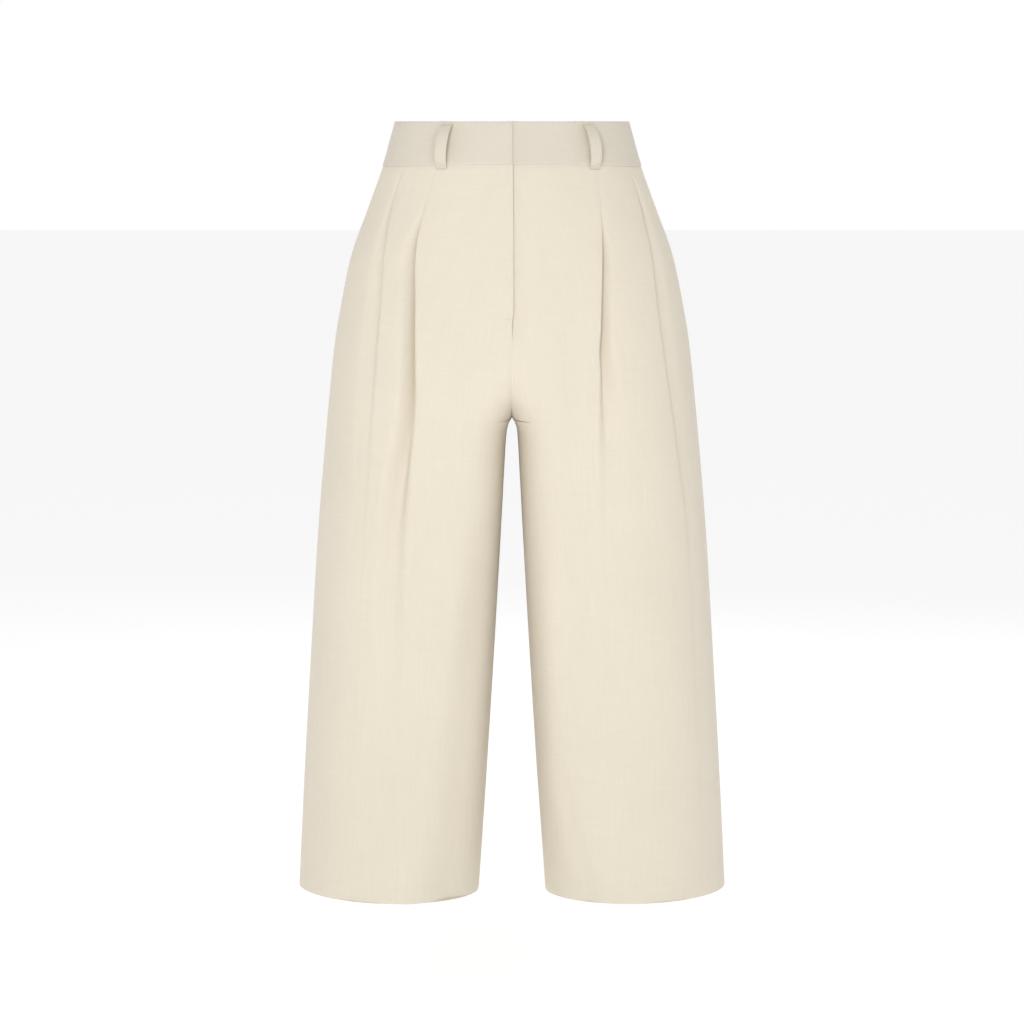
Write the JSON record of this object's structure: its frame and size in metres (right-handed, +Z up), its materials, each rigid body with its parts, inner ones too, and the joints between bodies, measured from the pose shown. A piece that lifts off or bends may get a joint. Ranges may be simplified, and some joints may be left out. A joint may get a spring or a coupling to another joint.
{
  "type": "capri pants",
  "caption": "High-waisted cropped trousers with two pleats on each front, wide legs, a waistband with belt loops and a closed fly, in plain pale beige cloth, filled out with no wearer.",
  "frame": {"origin": "middle of the waist opening, level with the top edge of the waistband", "axes": "+Z up along the body, +X to the wearer's left, -Y out of the front"},
  "size_m": [0.451, 0.2444, 0.809],
  "materials": {
    "panel_cloth": "matt",
    "waistband_cloth": "matt"
  },
  "bodies": {
    "root": {"back_left": "panel_cloth", "back_right": "panel_cloth", "belt_loop_back_centre": "waistband_cloth", "belt_loop_back_left": "waistband_cloth", "belt_loop_back_right": "waistband_cloth", "belt_loop_front_left": "waistband_cloth", "belt_loop_front_right": "waistband_cloth", "fly_shield": "panel_cloth", "front_left": "panel_cloth", "front_right": "panel_cloth", "waistband_left": "waistband_cloth", "waistband_right": "waistband_cloth"}
  },
  "joints": []
}
